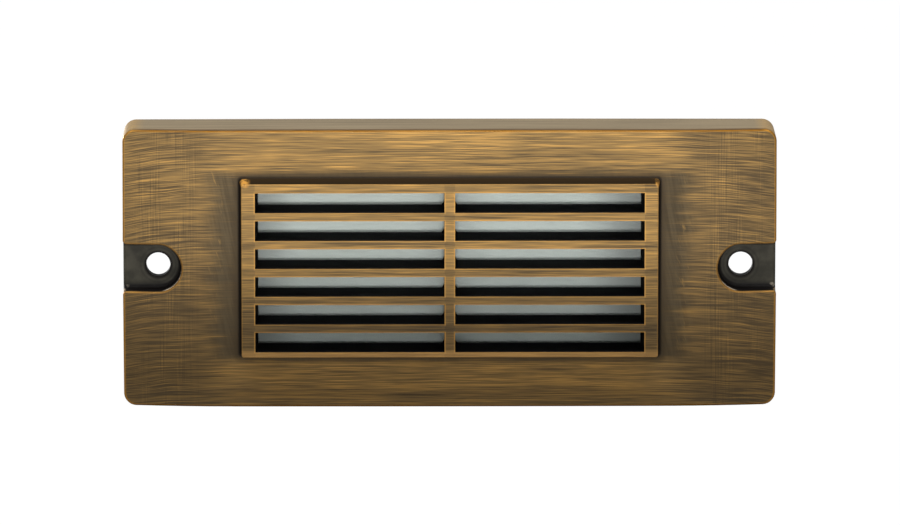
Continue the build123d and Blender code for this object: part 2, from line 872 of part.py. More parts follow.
os.makedirs("parts", exist_ok=True)
for name, make in PIECES.items():
    export_step(make(), f"parts/{name}.step")
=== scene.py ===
"""A brass step light: a cast, brushed plate with a louvred window over glass, seen from a little above."""
import json
import math

import bpy
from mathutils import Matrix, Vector


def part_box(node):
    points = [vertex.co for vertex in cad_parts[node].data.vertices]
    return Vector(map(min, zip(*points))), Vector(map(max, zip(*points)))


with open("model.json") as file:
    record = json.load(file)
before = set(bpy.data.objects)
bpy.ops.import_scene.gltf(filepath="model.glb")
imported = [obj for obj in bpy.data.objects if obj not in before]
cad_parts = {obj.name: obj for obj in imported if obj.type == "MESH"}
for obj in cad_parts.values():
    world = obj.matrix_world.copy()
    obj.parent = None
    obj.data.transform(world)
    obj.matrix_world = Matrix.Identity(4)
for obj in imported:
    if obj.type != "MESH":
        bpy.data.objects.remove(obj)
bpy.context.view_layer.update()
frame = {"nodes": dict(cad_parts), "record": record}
nodes = frame["nodes"]

MM = 0.001

# ---------------------------------------------------------------- the plate's sizes, in millimetres
plate_low, plate_high = [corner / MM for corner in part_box("faceplate")]
HALF_WIDTH = plate_high.x
HALF_HEIGHT = plate_high.z
SIDE_BOW = 0.1
CORNER = 2.7
FLAT_HALF_WIDTH = 46.0
END_ROUNDING = 161.0
LUG_INSET = 7.5
LUG_X = HALF_WIDTH - LUG_INSET
NOTCH_RADIUS = 5.1
SLOT_LENGTH = 40.45
SLOT_HEIGHT = 4.3
BAR_HEIGHT = 1.75
MULLION_WIDTH = 2.25
SLOT_ROWS = 6
SLOTS_Z = 0.05
GRILLE_HALF_WIDTH = 44.475
GRILLE_HALF_HEIGHT = 18.775
GRILLE_Z = 0.45
GRILLE_DEPTH = 5.0
GRILLE_FRONT = plate_low.y
PLATE_FRONT = GRILLE_FRONT + GRILLE_DEPTH


def srgb(*levels):
    """A colour written in the 0..255 levels of a picture, as light."""
    shares = [level / 255 for level in levels]
    return tuple(s / 12.92 if s <= 0.04045 else ((s + 0.055) / 1.055) ** 2.4 for s in shares)


# ---------------------------------------------------------------- the brass's tones
BRASS_DARK = srgb(78, 64, 44)
BRASS_MIDDLE = srgb(124, 99, 61)
BRASS_BRIGHT = srgb(172, 133, 74)
# the dark of the antiquing, used mostly as painted shade that deepens toward the bottom
PATINA_AND_PAINTED_SHADE = srgb(34, 27, 17)
STRIP_DARK = srgb(62, 54, 41)
STRIP_LIGHT = srgb(78, 68, 51)
STRIP_SCUFF = srgb(140, 110, 62)
# the next two: antiquing round the grille's foot, deepened by painted shade
GRILLE_MARGIN_PATINA_AND_SHADE = srgb(64, 53, 38)
GRILLE_FOOT_PATINA_AND_SHADE = srgb(26, 21, 16)
FOOT_SHINE = srgb(214, 160, 88)
WORN_EDGE = srgb(186, 136, 62)
WORN_CORNER = srgb(204, 148, 68)
RIM_GOLD = srgb(112, 73, 17)
RIM_GOLD_AT_ENDS = srgb(172, 122, 48)
# the sides' pale grey is partly a painted reflection of the light from above
SIDE_DARK = srgb(126, 112, 88)
SIDE_LIGHT = srgb(148, 132, 105)
# a painted dark reflection on the front edge's rounding
SIDE_EDGE_PAINTED_REFLECTION = srgb(92, 66, 32)
SIDE_CORNER = srgb(178, 142, 84)
NOTCH_DARK = srgb(48, 46, 39)
NOTCH_LIGHT = srgb(64, 61, 52)
NOTCH_RING = srgb(30, 28, 24)
LUG_HOLE = srgb(34, 31, 27)
# painted shadow along the notches' walls, and painted shade over dark antiquing at their foot
NOTCH_WALL_SHADOW = srgb(22, 19, 17)
NOTCH_FOOT_PATINA_AND_SHADE = srgb(12, 10, 10)
# the grille's left and right flanks: dark antiquing deepened by painted shadow
FLANK_PATINA_AND_SHADOW = srgb(14, 11, 9)
FLANK_TOP = srgb(42, 31, 16)
SLOT_WALL = srgb(9, 9, 11)
# painted highlights on the notches' edges
ARC_GLINT = srgb(226, 210, 186)
MOUTH_GLINT = srgb(128, 120, 106)
CASTING_DARK = srgb(82, 66, 42)
CASTING_LIGHT = srgb(128, 102, 62)
TARNISH = srgb(70, 60, 48)
BLACK = (0.0, 0.0, 0.0)


# ---------------------------------------------------------------- numbers spread over a surface
class Field:
    """A number, colour or direction at each point of a surface, with arithmetic."""

    def __init__(self, tree, socket):
        self.tree = tree
        self.socket = socket

    def __add__(self, other):
        return calculate(self.tree, "ADD", self, other)

    def __sub__(self, other):
        return calculate(self.tree, "SUBTRACT", self, other)

    def __mul__(self, other):
        return calculate(self.tree, "MULTIPLY", self, other)

    def __truediv__(self, other):
        return calculate(self.tree, "DIVIDE", self, other)

    def __abs__(self):
        return calculate(self.tree, "ABSOLUTE", self)

    def flipped(self):
        """One minus the number."""
        return calculate(self.tree, "SUBTRACT", 1.0, self)

    def at_least(self, other):
        return calculate(self.tree, "MAXIMUM", self, other)

    def at_most(self, other):
        return calculate(self.tree, "MINIMUM", self, other)

    def clipped(self):
        return self.at_least(0.0).at_most(1.0)

    def rise(self, start, end):
        """Smoothly from 0 at START to 1 at END."""
        if start > end:
            return self.rise(end, start).flipped()
        node = self.tree.nodes.new("ShaderNodeMapRange")
        node.interpolation_type = "SMOOTHSTEP"
        feed(self, node.inputs["Value"])
        node.inputs["From Min"].default_value = start
        node.inputs["From Max"].default_value = end
        return Field(self.tree, node.outputs["Result"])

    def spread(self, low, high):
        """From 0..1 to LOW..HIGH."""
        return self * (high - low) + low


def feed(value, socket):
    """Joins a field to a socket, or sets the socket's own value."""
    if isinstance(value, Field):
        value.tree.links.new(value.socket, socket)
    else:
        socket.default_value = value


def calculate(tree, operation, *values):
    """One step of arithmetic on fields and plain numbers."""
    node = tree.nodes.new("ShaderNodeMath")
    node.operation = operation
    for value, socket in zip(values, node.inputs):
        feed(value, socket)
    return Field(tree, node.outputs[0])


def length(a, b):
    """The distance from zero of the point (a, b)."""
    return calculate(a.tree, "SQRT", a * a + b * b)


def place(tree):
    """The object's own x, y and z at the point, in millimetres."""
    coordinates = tree.nodes.new("ShaderNodeTexCoord")
    split = tree.nodes.new("ShaderNodeSeparateXYZ")
    tree.links.new(coordinates.outputs["Object"], split.inputs[0])
    return [Field(tree, socket) / MM for socket in split.outputs]


def vector(x, y, z):
    """Three fields joined into one direction or place."""
    node = x.tree.nodes.new("ShaderNodeCombineXYZ")
    for value, socket in zip((x, y, z), node.inputs):
        feed(value, socket)
    return Field(x.tree, node.outputs[0])


def noise(x, y, z, detail=2.0, roughness=0.5):
    """Cloudy noise between 0 and 1, about one lump for each unit of x, y and z."""
    node = x.tree.nodes.new("ShaderNodeTexNoise")
    node.inputs["Scale"].default_value = 1.0
    node.inputs["Detail"].default_value = detail
    node.inputs["Roughness"].default_value = roughness
    feed(vector(x, y, z), node.inputs["Vector"])
    return Field(x.tree, node.outputs["Fac"])


def cells(x, y, z, randomness=1.0):
    """Distance to the nearest of scattered points, about one point for each unit."""
    node = x.tree.nodes.new("ShaderNodeTexVoronoi")
    node.inputs["Scale"].default_value = 1.0
    node.inputs["Randomness"].default_value = randomness
    feed(vector(x, y, z), node.inputs["Vector"])
    return Field(x.tree, node.outputs["Distance"])


def blend(amount, first, second):
    """The colour FIRST where AMOUNT is 0 and SECOND where it is 1."""
    node = amount.tree.nodes.new("ShaderNodeMix")
    node.data_type = "RGBA"
    feed(amount, node.inputs[0])
    for value, socket in ((first, node.inputs[6]), (second, node.inputs[7])):
        feed(value if isinstance(value, Field) else (*value, 1.0), socket)
    return Field(amount.tree, node.outputs[2])


def relief(height, depth_mm, strength):
    """Turns a height between 0 and 1 into a surface relief DEPTH_MM deep."""
    node = height.tree.nodes.new("ShaderNodeBump")
    node.inputs["Distance"].default_value = depth_mm * MM
    node.inputs["Strength"].default_value = strength
    feed(height, node.inputs["Height"])
    return Field(height.tree, node.outputs["Normal"])


def new_material(name):
    """A material with its tree and its shader."""
    material = bpy.data.materials.new(name)
    material.use_nodes = True
    tree = material.node_tree
    return material, tree, tree.nodes["Principled BSDF"]


# ---------------------------------------------------------------- where a point lies on the plate
def distance_to_outline(x, z):
    """Signed distance outside the bowed, round-cornered outline of the plate."""
    share_x = x / HALF_WIDTH
    share_z = z / HALF_HEIGHT
    past_x = abs(x) + share_z * share_z * SIDE_BOW - (HALF_WIDTH - CORNER)
    past_z = abs(z) + share_x * share_x * SIDE_BOW - (HALF_HEIGHT - CORNER)
    outside = length(past_x.at_least(0.0), past_z.at_least(0.0))
    return outside + past_x.at_least(past_z).at_most(0.0) - CORNER


def distance_to_notch(x, z):
    """Signed distance outside the two notches, each a straight slot with a half-round inner end."""
    return length((abs(x) - LUG_X).at_most(0.0), z) - NOTCH_RADIUS


def distance_to_grille(x, z):
    """Signed distance outside the raised grille's face."""
    past_x = abs(x) - GRILLE_HALF_WIDTH
    past_z = abs(z - GRILLE_Z) - GRILLE_HALF_HEIGHT
    outside = length(past_x.at_least(0.0), past_z.at_least(0.0))
    return outside + past_x.at_least(past_z).at_most(0.0)


def place_in_slot(x, z):
    """Signed distances outside the nearest slot's ends and its long sides, and the height in its row."""
    pitch = SLOT_HEIGHT + BAR_HEIGHT
    column = abs(abs(x) - (MULLION_WIDTH + SLOT_LENGTH) / 2) - SLOT_LENGTH / 2
    rows = (z - SLOTS_Z) / pitch + SLOT_ROWS / 2
    row = calculate(rows.tree, "FLOOR", rows.at_least(0.0).at_most(SLOT_ROWS - 0.001))
    height = (rows - row - 0.5) * pitch
    return column, abs(height) - SLOT_HEIGHT / 2, height


def depth_behind_front(x, y):
    """How far a point lies behind the plate's front, which rolls back at both ends."""
    past_flat = (abs(x) - FLAT_HALF_WIDTH).at_least(0.0)
    return y - PLATE_FRONT - past_flat * past_flat / (2 * END_ROUNDING)


class PlatePoint:
    """A point of the cast plate: where it is, how far from each part, and 1 on and 0 off each surface."""

    def __init__(self, tree):
        x, y, z = place(tree)
        outline = distance_to_outline(x, z)
        notch = distance_to_notch(x, z)
        grille = distance_to_grille(x, z)
        slot_end, slot_side, height_in_slot = place_in_slot(x, z)
        depth = depth_behind_front(x, y)

        self.x, self.y, self.z = x, y, z
        self.outline, self.notch, self.grille, self.depth = outline, notch, grille, depth
        self.slot_end, self.slot_side, self.height_in_slot = slot_end, slot_side, height_in_slot

        behind_grille_face = y.rise(GRILLE_FRONT + 0.05, GRILLE_FRONT + 0.4)
        self.on_grille_face = behind_grille_face.flipped()
        self.on_plate_front = depth.rise(0.5, 0.1) * depth.rise(-0.5, -0.2)
        self.in_notch = notch.rise(0.08, 0.02) * depth.rise(0.25, 0.45)
        self.in_slot = slot_end.at_least(slot_side).rise(0.16, 0.08) * behind_grille_face
        self.on_grille_side = behind_grille_face * depth.rise(-0.05, -0.25) * grille.rise(1.2, 0.9)
        self.on_side = outline.rise(-0.30, -0.05) * depth.rise(0.2, 0.6)
        self.on_back = y.rise(-2.2, -1.2) * outline.rise(-0.05, -0.3)
        behind_front_wall = y.rise(PLATE_FRONT + 2.0, PLATE_FRONT + 2.5) * outline.rise(-1.0, -1.4)
        self.inside = behind_front_wall * self.in_notch.flipped() * self.in_slot.flipped()


# ---------------------------------------------------------------- brass
def brushing(at):
    """Brush strokes along x, three widths of long thin streak, that arch and waver over the wings."""
    x, y, z = at.x, at.y, at.z
    wing = abs(x).rise(47.0, 62.0)
    arch = (abs(x) - 59.0) * (abs(x) - 59.0) * 0.0028
    waver = noise(x * 0.07, y * 0.05, z * 0.12, detail=1.0) - 0.5
    height = z + y * 0.8 + wing * (arch + waver * 1.5) + waver * 0.2
    broad = noise(x * 0.030, y * 0.3, height * 1.5, roughness=0.6)
    fine = noise(x * 0.070, y * 0.6, height * 5.0, detail=1.0)
    hair = noise(x * 0.150, y * 1.2, height * 8.5, detail=1.0)
    return broad, fine, hair


def cross_scratches(at):
    """A net of faint upright scratches over the wings."""
    x, y, z = at.x, at.y, at.z
    bundle = noise(x * 0.35, y * 0.3, z * 0.05, detail=1.0)
    scratch = noise(x * 4.4, y * 0.5, z * 0.08, detail=1.0)
    wing = abs(x).rise(52.0, 58.0) * abs(x).rise(68.5, 65.0)
    return wing * bundle.rise(0.40, 0.62) * (scratch - 0.5)


def bare_metal_less_painted_shade(at, broad, fine, hair):
    """How bare the metal is, from dark antiquing at 0 to fresh strokes at 1, less a painted shade low on the
    wings and the louvres.

    It is the three widths of stroke added to a cloudy middle, less on the wings and the right wing, less
    again as painted shade on the wings' lower halves and the louvres' lower half, and more along the plate's
    foot.  Each upright is barer between the slats than where a slat crosses it.
    """
    x, y, z = at.x, at.y, at.z
    cloud = noise(x * 0.045, y * 0.1, z * 0.07)
    broad_share = abs(x).rise(44.0, 54.0).spread(1.2, 0.5)
    bare = (broad - 0.5) * broad_share + (fine - 0.5) * 1.8 + (hair - 0.5) * 1.3 + (cloud - 0.5) * 0.4 + 0.53
    # painted shade: the wings' lower halves darker
    lower_wing = abs(x).rise(45.0, 56.0) * z.rise(2.0, -10.0)
    right_wing = x.rise(40.0, 56.0) * z.rise(-6.0, 4.0)
    bare = bare - abs(x).rise(46.0, 56.0) * 0.14 - lower_wing * 0.12 - right_wing * 0.15
    bare = bare + abs(x).rise(46.0, 40.0) * z.rise(-18.0, -21.0) * z.rise(-29.0, -25.0) * 0.14
    bare = bare + cross_scratches(at) * 0.9
    upright = at.slot_end.rise(-0.05, 0.05) * at.on_grille_face
    between_slats = at.slot_side.rise(0.5, -0.1)
    bare = bare + upright * between_slats.spread(-0.16, 0.12)
    # painted shade: the louvres' face darker toward the bottom
    return bare - at.on_grille_face * z.rise(-4.0, -11.0) * 0.25


def dull_strip(at):
    """1 on the plain, dull strip at each side of the grille, with a ragged outer border."""
    ragged = noise(at.x * 0.12, at.y * 0.1, at.z * 0.9, roughness=0.6) - 0.5
    beside = abs(at.x) - GRILLE_HALF_WIDTH + ragged * 7.0
    height = abs(at.z - GRILLE_Z) + ragged * 2.0
    return beside.rise(9.5, 3.5) * at.on_plate_front * height.rise(22.0, 18.6)


def brushed_front(at, bare, strip):
    """The strokes' colour, then the dull strips with slanting scuffs, then a dark line round the grille's
    foot: antiquing in the fillet deepened by painted shade.
    """
    x, y, z = at.x, at.y, at.z
    colour = blend(bare.rise(0.0, 0.55), BRASS_DARK, BRASS_MIDDLE)
    colour = blend(bare.rise(0.5, 1.05), colour, BRASS_BRIGHT)

    upright_strokes = noise(x * 1.3 + z * 0.25, y * 0.5, z * 0.10, roughness=0.6)
    dull = blend(upright_strokes.rise(0.25, 0.75), STRIP_DARK, STRIP_LIGHT)
    colour = blend(strip * 0.9, colour, dull)
    beside = abs(x) - GRILLE_HALF_WIDTH
    scuff_place = beside.rise(3.5, 5.5) * beside.rise(8.5, 6.5)
    scuffs = noise(x * 1.5 + z * 0.45, y * 0.5, z * 0.30, roughness=0.6).rise(0.60, 0.74)
    colour = blend(strip * scuff_place * scuffs * 0.7, colour, STRIP_SCUFF)

    # antiquing in the fillet round the grille, deepened by painted shade
    margin = at.grille.rise(2.6, 0.9) * at.on_plate_front
    foot = at.grille.rise(1.15, 0.55) * at.on_plate_front
    colour = blend(margin * 0.7, colour, GRILLE_MARGIN_PATINA_AND_SHADE)
    return blend(foot * 0.9, colour, GRILLE_FOOT_PATINA_AND_SHADE)


def darkened(at, colour, strip):
    """Painted shade that deepens toward the bottom down the louvres, over the wings and at the plate's foot,
    over a little dark antiquing; the grille's foot shines.
    """
    x, z = at.x, at.z
    # painted shade: darker toward the bottom on the louvres, the wings and the plate's foot, over a little
    # antiquing
    louvres = at.on_grille_face * z.rise(13.0, -13.0).spread(0.10, 0.47) * z.rise(-17.7, -16.4)
    wings = at.on_plate_front * abs(x).rise(44.0, 54.0) * z.rise(20.0, 10.0)
    wings = wings * z.rise(10.0, -12.0).spread(0.10, 0.33)
    foot = at.on_plate_front * z.rise(-24.5, -27.5) * 0.40
    right_strip = strip * x.rise(40.0, 46.0) * 0.16
    # painted shade toward the bottom, with a little antiquing
    patina_and_shade = louvres.at_least(wings).at_least(foot).at_least(right_strip)
    colour = blend(patina_and_shade, colour, PATINA_AND_PAINTED_SHADE)
    shine = at.on_grille_face * z.rise(-16.4, -17.6) * 0.2
    return blend(shine, colour, FOOT_SHINE)


def worn_edges(at):
    """How worn the edges are, and which of them are the plate's own rim.

    The rim is the plate's outer edge and the notches' edge.  The others are the grille's edge and, round
    each slot, the sill below, the lintel above and the jambs at its ends.
    """
    x, y, z = at.x, at.y, at.z
    end, side, height = at.slot_end, at.slot_side, at.height_in_slot
    wear = noise(x * 0.22, y * 0.5, z * 0.22).spread(0.35, 1.35)
    plate_edge = at.outline.rise(-0.55, -0.28) * at.depth.rise(0.55, 0.40) * at.depth.rise(-0.5, -0.2)
    notch_edge = at.notch.rise(0.55, 0.15) * at.notch.rise(-0.15, 0.0) * at.on_plate_front * 0.7
    grille_edge = at.grille.rise(-0.28, -0.12) * y.rise(GRILLE_FRONT + 0.32, GRILLE_FRONT + 0.18) * 0.28
    sill = side.rise(0.24, 0.08) * side.rise(-0.05, 0.02) * height.rise(0.0, -0.1) * 0.45
    lintel = side.rise(0.26, 0.10) * side.rise(-0.05, 0.02) * height.rise(0.0, 0.1) * 0.55
    jamb = end.rise(0.34, 0.14) * end.rise(-0.05, 0.02) * side.rise(0.5, -0.1) * 0.55
    ledges = sill.at_least(lintel) * end.rise(0.3, 0.0)
    slot_edge = ledges.at_least(jamb) * at.on_grille_face * end.rise(0.45, 0.2) * side.rise(0.4, 0.2)
    rim = plate_edge.at_least(notch_edge)
    return (rim.at_least(grille_edge).at_least(slot_edge) * wear).clipped(), rim


def worn_corners(at):
    """Ragged bright spots on the grille's two upper corners, the left one larger."""
    x, y, z = at.x, at.y, at.z
    height = (z - GRILLE_Z - GRILLE_HALF_HEIGHT - 0.1) / 1.2
    left = length((x + GRILLE_HALF_WIDTH - 0.6) / 1.5, height).rise(1.0, 0.2)
    right = length((x - GRILLE_HALF_WIDTH) / 0.9, height).rise(0.9, 0.4) * 0.5
    ragged = noise(x * 0.9, y * 0.6, z * 0.9).rise(0.28, 0.62)
    return left.at_least(right) * ragged * y.rise(PLATE_FRONT - 0.2, PLATE_FRONT - 0.8)


def outer_sides(at):
    """A plainer, greyer brushed skin whose pale grey is partly a painted reflection of the light from above,
    with a painted dark reflection along the front edge's rounding and brighter corners.
    """
    x, y, z = at.x, at.y, at.z
    lines = noise(x * 0.03, y * 2.2, z * 0.03)
    # pale grey, partly a painted reflection of the light from above
    colour = blend(lines.rise(0.3, 0.7), SIDE_DARK, SIDE_LIGHT)
    # painted dark reflection along the front edge's rounding
    dark_edge_reflection = at.depth.rise(2.0, 1.2) * at.depth.rise(0.38, 0.60)
    colour = blend(dark_edge_reflection * 0.85, colour, SIDE_EDGE_PAINTED_REFLECTION)
    near_end = abs(x).rise(HALF_WIDTH - 5.0, HALF_WIDTH - 2.0)
    near_top = abs(z).rise(HALF_HEIGHT - 5.0, HALF_HEIGHT - 2.0)
    return blend(near_end * near_top * lines.rise(0.3, 0.6) * 0.7, colour, SIDE_CORNER)


def turned_rings(radius):
    """Fine rings round the lug holes, as a cutter leaves them: a sine of the radius, from 0 to 1."""
    return calculate(radius.tree, "SINE", radius * 7.0) * 0.5 + 0.5


def notch_floor(at, radius, rings):
    """Satin black: mottled, ringed near the hole and darker in the hole, with painted shadow along the wall
    and painted shade over dark antiquing at the foot.
    """
    mottle = noise(at.x * 0.4, at.y * 0.4, at.z * 0.4, detail=3.0)
    colour = blend(mottle.rise(0.3, 0.7), NOTCH_DARK, NOTCH_LIGHT)
    colour = blend(rings * radius.rise(5.0, 3.0) * 0.5, colour, NOTCH_RING)
    colour = blend(radius.rise(3.15, 2.95), colour, LUG_HOLE)
    # painted shadow along the wall
    colour = blend(at.notch.rise(-1.1, -0.5), colour, NOTCH_WALL_SHADOW)
    # painted shade over dark antiquing at the foot
    return blend(at.z.rise(-3.0, -4.8) * 0.75, colour, NOTCH_FOOT_PATINA_AND_SHADE)


def notch_painted_glints(at, colour):
    """Painted highlights: a thin glint along each notch's lower arc and a pale glint at its mouth."""
    x, y, z = at.x, at.y, at.z
    arc = at.notch.rise(-0.45, -0.25) * at.notch.rise(0.12, -0.05) * z.rise(-2.6, -3.4) * z.rise(-5.1, -4.7)
    arc = arc * (abs(x) - LUG_X).rise(-0.4, -1.4) * at.depth.rise(1.5, 0.9) * at.depth.rise(0.3, 0.6)
    mouth = length((abs(x) - HALF_WIDTH + 0.6) / 0.9, (z + 4.4) / 0.7).rise(1.0, 0.3) * at.in_notch
    glint_breakup = noise(x * 1.1, y * 0.8, z * 1.4).rise(0.38, 0.62)
    # painted highlights: the glint along the arc, then the glint at the mouth
    colour = blend(arc * 0.9, colour, ARC_GLINT)
    return blend(mouth * glint_breakup * 0.7, colour, MOUTH_GLINT)


def antique_brass():
    """Cast brass, brushed along x, darkened in its hollows by antiquing and painted shade, and worn bright
    on its edges.

    Layer over layer: the strokes with their antiquing and a painted shade that deepens toward the bottom,
    the worn edges, the outer sides with their partly painted reflection, the hollows of notches, grille and
    slots with painted shade in the notches and round the grille, the worn corners, the painted glints in the
    notches, and raw casting skin where nobody looks.  The metal is most metallic where it is barest or worn,
    and not at all in the hollows.
    """
    material, tree, shader = new_material("antique_brass")
    at = PlatePoint(tree)
    x, y, z = at.x, at.y, at.z
    broad, fine, hair = brushing(at)
    bare = bare_metal_less_painted_shade(at, broad, fine, hair)
    strip = dull_strip(at)
    colour = darkened(at, brushed_front(at, bare, strip), strip)

    worn, rim = worn_edges(at)
    ends = abs(x).rise(HALF_WIDTH - 3.5, HALF_WIDTH - 1.0)
    fresh = blend(rim, WORN_EDGE, blend(ends, RIM_GOLD, RIM_GOLD_AT_ENDS))
    colour = blend(worn * 0.85, colour, fresh)
    colour = blend(at.on_side, colour, outer_sides(at))

    radius = length(abs(x) - LUG_X, z)
    rings = turned_rings(radius)
    colour = blend(at.in_notch, colour, notch_floor(at, radius, rings))
    # left and right flanks: antiquing deepened by painted shadow; top and bottom flanks: antiquing
    flank = blend(abs(z - GRILLE_Z).rise(18.5, 19.2), FLANK_PATINA_AND_SHADOW, FLANK_TOP)
    colour = blend(at.on_grille_side, colour, flank)
    colour = blend(at.in_slot, colour, SLOT_WALL)
    colour = blend(worn_corners(at) * at.in_slot.flipped() * 0.9, colour, WORN_CORNER)
    # painted highlights in the notches
    colour = notch_painted_glints(at, colour)

    skin = noise(x * 0.9, y * 0.9, z * 0.9, detail=4.0, roughness=0.7)
    raw_casting = blend(skin.rise(0.3, 0.7), CASTING_DARK, CASTING_LIGHT)
    colour = blend(at.on_back.at_least(at.inside), colour, raw_casting)
    feed(colour, shader.inputs["Base Color"])

    covered = at.in_notch.at_least(at.in_slot).at_least(at.on_grille_side)
    metallic = bare.clipped().spread(0.1, 0.55).at_least(worn * 0.9) * covered.flipped()
    feed(metallic.clipped(), shader.inputs["Metallic"])
    roughness = fine.spread(0.42, 0.58) - worn * 0.12
    roughness = roughness.at_least(at.in_slot * 0.85).at_least(at.on_grille_side * 0.7)
    feed(roughness.at_least(0.3), shader.inputs["Roughness"])
    grain = (fine * 0.5 + hair * 0.5) * covered.flipped() + (skin * 0.7 + rings * 0.3) * covered
    feed(relief(grain, 0.012, 0.6), shader.inputs["Normal"])
    shader.inputs["Specular IOR Level"].default_value = 0.08
    return material


# ---------------------------------------------------------------- glass, opal and plastics
def clear_glass():
    """Clear glass that lets lamplight straight through to what is behind it."""
    material, tree, shader = new_material("clear_glass")
    x, y, z = place(tree)
    shader.inputs["Transmission Weight"].default_value = 1.0
    shader.inputs["IOR"].default_value = 1.5
    film = noise(x * 0.4, y * 0.4, z * 0.4, detail=4.0, roughness=0.6)
    feed(blend(film, (0.95, 0.97, 0.96), (0.98, 0.99, 0.985)), shader.inputs["Base Color"])
    feed(film.rise(0.45, 0.9).spread(0.02, 0.10), shader.inputs["Roughness"])
    rays = tree.nodes.new("ShaderNodeLightPath")
    open_way = tree.nodes.new("ShaderNodeBsdfTransparent")
    open_way.inputs["Color"].default_value = (0.95, 0.96, 0.95, 1.0)
    mix = tree.nodes.new("ShaderNodeMixShader")
    tree.links.new(rays.outputs["Is Shadow Ray"], mix.inputs[0])
    tree.links.new(shader.outputs[0], mix.inputs[1])
    tree.links.new(open_way.outputs[0], mix.inputs[2])
    tree.links.new(mix.outputs[0], tree.nodes["Material Output"].inputs["Surface"])
    return material


def painted_shade_behind_slots(x):
    """Painted shade on the opal sheet, where less light reaches it: beside the mullion and toward the slots'
    outer ends.
    """
    left_end = x.rise(-31.0, -44.0) * 0.46
    right_end = x.rise(27.0, 44.0) * 0.60
    middle = abs(x).rise(10.0, 0.0) * 0.17
    return left_end.at_least(right_end).at_least(middle)


def moulded(
    name, dark, light, roughness=0.5, grain_mm=0.25, depth_mm=0.01, lump_mm=6.0, coat=0.0, painted_shade=None
):
    """Moulded plastic or rubber: a slight mottle and a fine pebbled skin, darkened where given by a painted
    shade that is a function of x.
    """
    material, tree, shader = new_material(name)
    x, y, z = place(tree)
    mottle = noise(x / lump_mm, y / lump_mm, z / lump_mm, detail=4.0, roughness=0.6)
    skin = cells(x / grain_mm, y / grain_mm, z / grain_mm)
    colour = blend(mottle.rise(0.3, 0.7), srgb(*dark), srgb(*light))
    if painted_shade:
        # painted shade: darker where less light reaches the part
        colour = blend(painted_shade(x), colour, BLACK)
    feed(colour, shader.inputs["Base Color"])
    feed(mottle.spread(roughness - 0.08, roughness + 0.08), shader.inputs["Roughness"])
    feed(relief(skin, depth_mm, 0.7), shader.inputs["Normal"])
    shader.inputs["Coat Weight"].default_value = coat
    return material


def drawn_metal(name, dark, light, roughness=0.35, along=(0.05, 1.0, 6.0), depth_mm=0.004, tarnish=0.0):
    """Rolled, turned or plated metal: fine lines in one direction and faint stains."""
    material, tree, shader = new_material(name)
    x, y, z = place(tree)
    lines = noise(x * along[0], y * along[1], z * along[2], detail=4.0, roughness=0.7)
    stain = noise(x * 0.12, y * 0.12, z * 0.12, detail=4.0, roughness=0.6)
    shade = (lines * 0.6 + stain * 0.4).rise(0.32, 0.68)
    colour = blend(shade, srgb(*dark), srgb(*light))
    if tarnish:
        colour = blend(stain.rise(0.55, 0.75) * tarnish, colour, TARNISH)
    feed(colour, shader.inputs["Base Color"])
    shader.inputs["Metallic"].default_value = 1.0
    feed(lines.spread(roughness - 0.1, roughness + 0.14), shader.inputs["Roughness"])
    feed(relief(lines, depth_mm, 0.6), shader.inputs["Normal"])
    return material


def foam(name, dark, light, pore_mm=0.35):
    """Closed-cell foam: pores of uneven size in a matte skin."""
    material, tree, shader = new_material(name)
    x, y, z = place(tree)
    large_mm = 3 * pore_mm
    pores = cells(x / pore_mm, y / pore_mm, z / pore_mm)
    large = cells(x / large_mm, y / large_mm, z / large_mm)
    depth = pores.rise(0.15, 0.6) * 0.7 + large.rise(0.1, 0.35) * 0.3
    feed(blend(depth, srgb(*dark), srgb(*light)), shader.inputs["Base Color"])
    feed(depth.spread(0.95, 0.8), shader.inputs["Roughness"])
    feed(relief(depth, 0.08, 0.8), shader.inputs["Normal"])
    return material


def solder_mask(name, mask, copper, fibre):
    """A circuit board's lacquer over copper areas and a faint fibre that show as slightly other tones."""
    material, tree, shader = new_material(name)
    x, y, z = place(tree)
    areas = cells(x / 4.2, y / 30.0, z / 4.2, randomness=0.7).rise(0.40, 0.46)
    weave = noise(x * 1.4, y * 0.2, z * 1.4, detail=3.0)
    colour = blend(areas, srgb(*mask), srgb(*copper))
    feed(blend(weave * 0.25, colour, fibre), shader.inputs["Base Color"])
    feed(weave.spread(0.22, 0.4), shader.inputs["Roughness"])
    feed(relief(areas * 0.8 + weave * 0.2, 0.035, 0.7), shader.inputs["Normal"])
    return material


